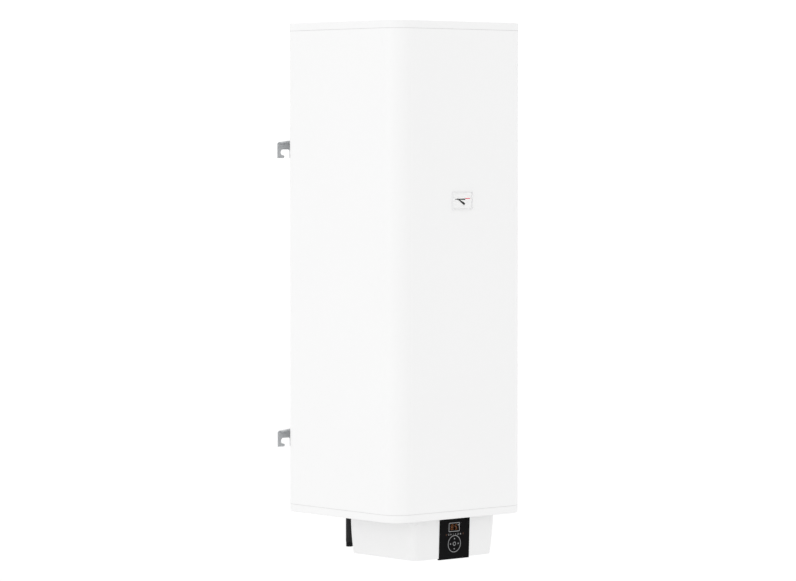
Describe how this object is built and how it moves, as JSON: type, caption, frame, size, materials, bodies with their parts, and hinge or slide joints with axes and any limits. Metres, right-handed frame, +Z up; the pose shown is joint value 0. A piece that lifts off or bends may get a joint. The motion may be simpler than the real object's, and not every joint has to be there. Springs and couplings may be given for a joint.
{
  "type": "tank water heater",
  "caption": "Tall square wall-hung electric storage water heater with a dial thermometer, lower cover and display panel.",
  "frame": {"origin": "middle of the upper wall rail's back face, on the wall plane, level with the top of its two bolt slots", "axes": "+X to the right seen from the front, +Y into the wall, +Z up"},
  "size_m": [0.51, 0.5485, 1.5569],
  "materials": {
    "white_powder_coat": "satin",
    "white_moulding": "satin",
    "cover_moulding": "satin",
    "pale_grey_seal": "matte",
    "insulating_foam": "matte",
    "tank_steel": "satin",
    "black_rubber": "matte",
    "zinc_plated_steel": "satin",
    "bright_steel": "satin",
    "element_sheath": "satin",
    "white_ceramic": "matte",
    "magnesium": "matte",
    "natural_nylon": "matte",
    "grey_nylon": "matte",
    "dark_coated_pipe": "satin",
    "dial_white": "satin",
    "clear_window": "gloss",
    "needle_black": "satin",
    "copper": "satin",
    "black_panel": "gloss",
    "smoked_window": "gloss",
    "display_black": "matte",
    "circuit_board": "satin",
    "relay_blue": "satin",
    "reset_red": "satin",
    "brown_wire": "satin"
  },
  "bodies": {
    "heater": {"casing_jacket": "white_powder_coat", "top_cap": "white_moulding", "bottom_cap": "white_moulding", "top_seam_seal": "pale_grey_seal", "bottom_seam_seal": "pale_grey_seal", "insulation_foam": "insulating_foam", "tank_barrel": "tank_steel", "tank_top_end": "tank_steel", "tank_bottom_end": "tank_steel", "flange_neck": "tank_steel", "flange_gasket": "black_rubber", "flange_plate": "zinc_plated_steel", "flange_studs": "zinc_plated_steel", "flange_nuts": "zinc_plated_steel", "heating_elements": "element_sheath", "element_bushings": "white_ceramic", "element_pins": "bright_steel", "anode_rod": "magnesium", "anode_stud": "bright_steel", "anode_bushings": "natural_nylon", "anode_nut": "zinc_plated_steel", "sensor_pocket": "element_sheath", "temperature_sensor": "bright_steel", "hot_water_pipe": "dark_coated_pipe", "cold_water_pipe": "dark_coated_pipe", "inlet_diffuser": "natural_nylon", "pipe_grommets": "black_rubber", "thermometer_bezel": "dial_white", "thermometer_dial": "dial_white", "thermometer_lens": "clear_window", "thermometer_gauge": "natural_nylon", "thermometer_capillary": "copper", "thermometer_bulb": "copper", "lower_cover": "cover_moulding", "cover_screws": "bright_steel", "control_panel": "black_panel", "display_window": "smoked_window", "display_module": "display_black", "key_switches": "display_black", "control_board": "circuit_board", "board_bracket": "zinc_plated_steel", "power_board": "circuit_board", "power_relays": "relay_blue", "terminal_block": "natural_nylon", "safety_cutout": "display_black", "cable_gland": "grey_nylon", "gland_nut": "grey_nylon", "element_leads": "brown_wire", "sensor_lead": "black_rubber", "upper_wall_rail": "zinc_plated_steel", "lower_wall_rail": "zinc_plated_steel", "rail_standoffs": "tank_steel", "rail_screws": "zinc_plated_steel"},
    "needle": {"thermometer_needle": "needle_black"},
    "reset": {"reset_button": "reset_red"},
    "key_up_cap": {"key_up": "black_panel"},
    "key_down_cap": {"key_down": "black_panel"},
    "key_left_cap": {"key_left": "black_panel"},
    "key_right_cap": {"key_right": "black_panel"},
    "key_centre_cap": {"key_centre": "black_panel"}
  },
  "joints": [
    {"name": "needle_turn", "type": "hinge", "parent": "heater", "child": "needle", "pos_m": [0.0058, -0.547, -0.155], "axis": [0, 1, 0], "range_deg": [0, 118], "stiffness_Nm_per_rad": 0.0005},
    {"name": "key_up_press", "type": "slide", "parent": "heater", "child": "key_up_cap", "axis": [0, 0.9994, 0.0341], "range_m": [0, 0.0008], "stiffness_N_per_m": 2000},
    {"name": "key_down_press", "type": "slide", "parent": "heater", "child": "key_down_cap", "axis": [0, 0.9994, 0.0341], "range_m": [0, 0.0008], "stiffness_N_per_m": 2000},
    {"name": "key_left_press", "type": "slide", "parent": "heater", "child": "key_left_cap", "axis": [0, 0.9994, 0.0341], "range_m": [0, 0.0008], "stiffness_N_per_m": 2000},
    {"name": "key_right_press", "type": "slide", "parent": "heater", "child": "key_right_cap", "axis": [0, 0.9994, 0.0341], "range_m": [0, 0.0008], "stiffness_N_per_m": 2000},
    {"name": "key_centre_press", "type": "slide", "parent": "heater", "child": "key_centre_cap", "axis": [0, 0.9994, 0.0341], "range_m": [0, 0.0008], "stiffness_N_per_m": 2000},
    {"name": "reset_press", "type": "slide", "parent": "heater", "child": "reset", "axis": [0, 0, 1], "range_m": [0, 0.0025], "stiffness_N_per_m": 400}
  ]
}
